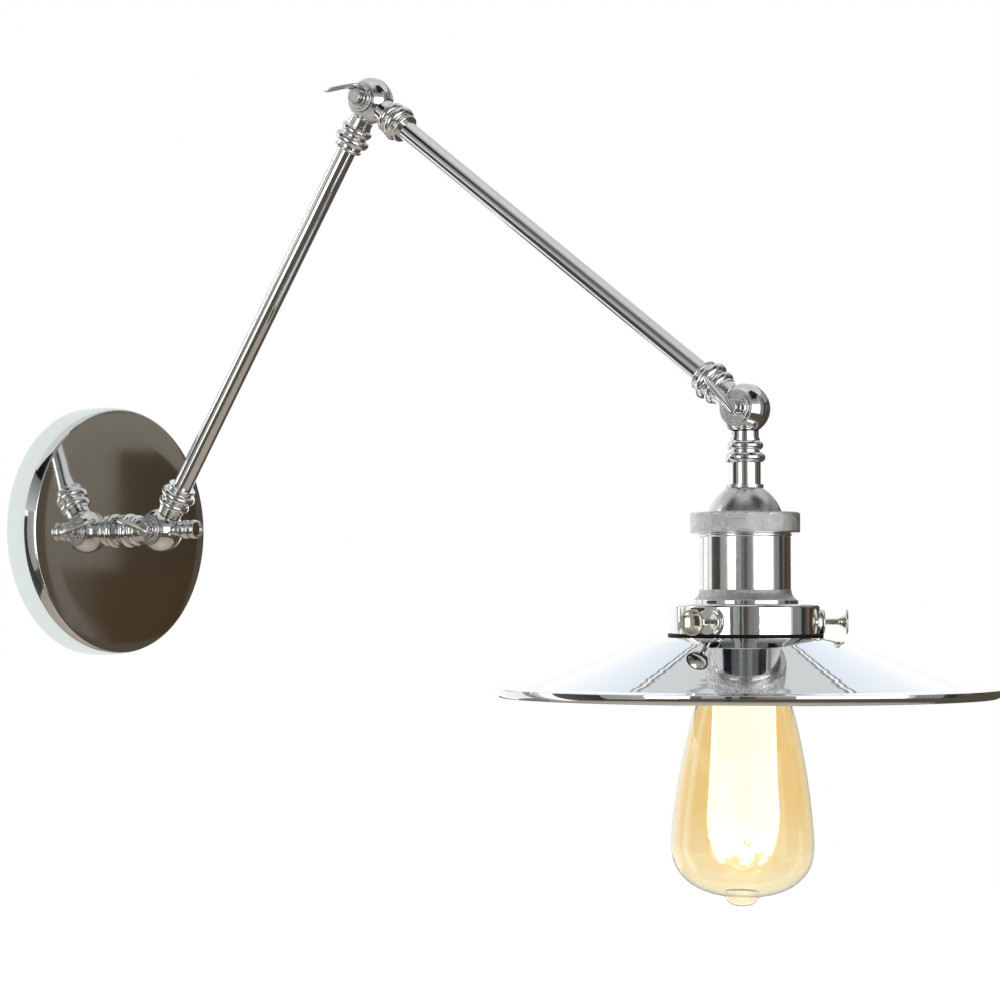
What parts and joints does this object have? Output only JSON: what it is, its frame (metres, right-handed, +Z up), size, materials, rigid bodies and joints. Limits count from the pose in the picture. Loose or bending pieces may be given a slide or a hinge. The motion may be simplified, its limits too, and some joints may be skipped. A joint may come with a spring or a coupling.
{
  "type": "swing arm wall sconce",
  "caption": "Polished swing arm wall lamp: round wall plate, tube arms on ball swivels with clamp levers, and a lampholder with a shallow cone shade and a long bulb.",
  "frame": {"origin": "centre of the wall plate on the wall plane", "axes": "+Z up, -Y out of the wall to the lamp, X along the wall"},
  "size_m": [0.223, 0.5035, 0.3929],
  "materials": {
    "chrome": "polished chrome plate",
    "satin_nickel": "satin nickel plate",
    "zinc_steel": "zinc plated steel",
    "brass": "plain brass",
    "friction_washer": "black nylon",
    "wire_sleeve": "insulated wire",
    "terminal_plastic": "moulded plastic",
    "porcelain": "glazed porcelain",
    "black_glaze": "black vitrite glass",
    "amber_glass": "clear amber glass",
    "clear_glass": "clear glass",
    "filament": "glowing filament"
  },
  "bodies": {
    "wall_plate": {"canopy": "chrome", "wall_bracket": "zinc_steel", "bracket_nut": "zinc_steel", "canopy_nut": "zinc_steel", "swivel_bush": "chrome", "terminal_block": "terminal_plastic", "earth_screw": "brass"},
    "base_swivel": {"base_post": "zinc_steel", "retaining_ring": "zinc_steel", "base_collar": "chrome", "base_knuckle": "chrome", "base_washer": "friction_washer", "base_screw": "satin_nickel"},
    "knob": {"lock_knob": "satin_nickel"},
    "base_clamp": {"base_lever": "chrome"},
    "lower_arm": {"lower_foot": "chrome", "lower_foot_collar": "chrome", "lower_tube": "chrome", "lower_wire": "wire_sleeve", "lower_top_collar": "chrome", "elbow_knuckle": "chrome", "elbow_washer": "friction_washer", "elbow_screw": "satin_nickel"},
    "elbow_clamp": {"elbow_lever": "chrome"},
    "upper_arm": {"upper_foot": "chrome", "upper_foot_collar": "chrome", "upper_tube": "chrome", "upper_wire": "wire_sleeve", "upper_end_collar": "chrome", "lamp_knuckle": "chrome", "lamp_washer": "friction_washer", "lamp_screw": "satin_nickel"},
    "lamp_clamp": {"lamp_lever": "chrome"},
    "lamp_head": {"head_swivel": "chrome", "head_collar": "chrome", "head_stem": "chrome", "cap_nut": "zinc_steel", "holder_cap": "chrome", "knurled_ring": "satin_nickel", "holder_sleeve": "chrome", "holder_skirt": "satin_nickel", "holder_core": "porcelain", "terminal_screws": "brass", "centre_contact": "brass", "screw_shell": "brass", "gallery": "chrome", "gallery_nut": "zinc_steel", "shade": "chrome"},
    "left_screw": {"thumb_screw_left": "satin_nickel"},
    "front_screw": {"thumb_screw_front": "satin_nickel"},
    "back_screw": {"thumb_screw_back": "satin_nickel"},
    "bulb": {"bulb_contact": "satin_nickel", "bulb_insulator": "black_glaze", "bulb_cap": "satin_nickel", "bulb_glass": "amber_glass", "bulb_stem": "clear_glass", "lead_wires": "satin_nickel", "filament": "filament"}
  },
  "joints": [
    {"name": "base_turn", "type": "hinge", "parent": "wall_plate", "child": "base_swivel", "pos_m": [0, -0.02, 0], "axis": [0, -1, 0], "range_deg": [-160, 160]},
    {"name": "base_tilt", "type": "hinge", "parent": "base_swivel", "child": "lower_arm", "pos_m": [0, -0.046, 0], "axis": [1, 0, 0], "range_deg": [-33, 8]},
    {"name": "elbow_tilt", "type": "hinge", "parent": "lower_arm", "child": "upper_arm", "pos_m": [0, -0.18399, 0.21086], "axis": [1, 0, 0], "range_deg": [-100, 20]},
    {"name": "head_tilt", "type": "hinge", "parent": "upper_arm", "child": "lamp_head", "pos_m": [0, -0.39202, 0.04833], "axis": [1, 0, 0], "range_deg": [-90, 55]},
    {"name": "knob_turn", "type": "hinge", "parent": "base_swivel", "child": "knob", "pos_m": [0, -0.068, 0], "axis": [0, -1, 0], "range_deg": [-180, 180]},
    {"name": "base_clamp_turn", "type": "hinge", "parent": "base_swivel", "child": "base_clamp", "pos_m": [0, -0.046, 0], "axis": [1, 0, 0], "range_deg": [-40, 40]},
    {"name": "elbow_clamp_turn", "type": "hinge", "parent": "lower_arm", "child": "elbow_clamp", "pos_m": [0, -0.18399, 0.21086], "axis": [1, 0, 0], "range_deg": [-40, 40]},
    {"name": "lamp_clamp_turn", "type": "hinge", "parent": "upper_arm", "child": "lamp_clamp", "pos_m": [0, -0.39202, 0.04833], "axis": [1, 0, 0], "range_deg": [-40, 40]},
    {"name": "left_screw_turn", "type": "hinge", "parent": "lamp_head", "child": "left_screw", "pos_m": [-0.036, -0.39202, -0.04577], "axis": [-1, 0, 0], "range_deg": [-180, 180]},
    {"name": "front_screw_turn", "type": "hinge", "parent": "lamp_head", "child": "front_screw", "pos_m": [0.018, -0.4232, -0.04577], "axis": [0.5, -0.866, 0], "range_deg": [-180, 180]},
    {"name": "back_screw_turn", "type": "hinge", "parent": "lamp_head", "child": "back_screw", "pos_m": [0.018, -0.36084, -0.04577], "axis": [0.5, 0.866, 0], "range_deg": [-180, 180]},
    {"name": "bulb_turn", "type": "hinge", "parent": "lamp_head", "child": "bulb", "pos_m": [0, -0.39202, -0.04167], "axis": [0, 0, -1], "continuous": true}
  ]
}
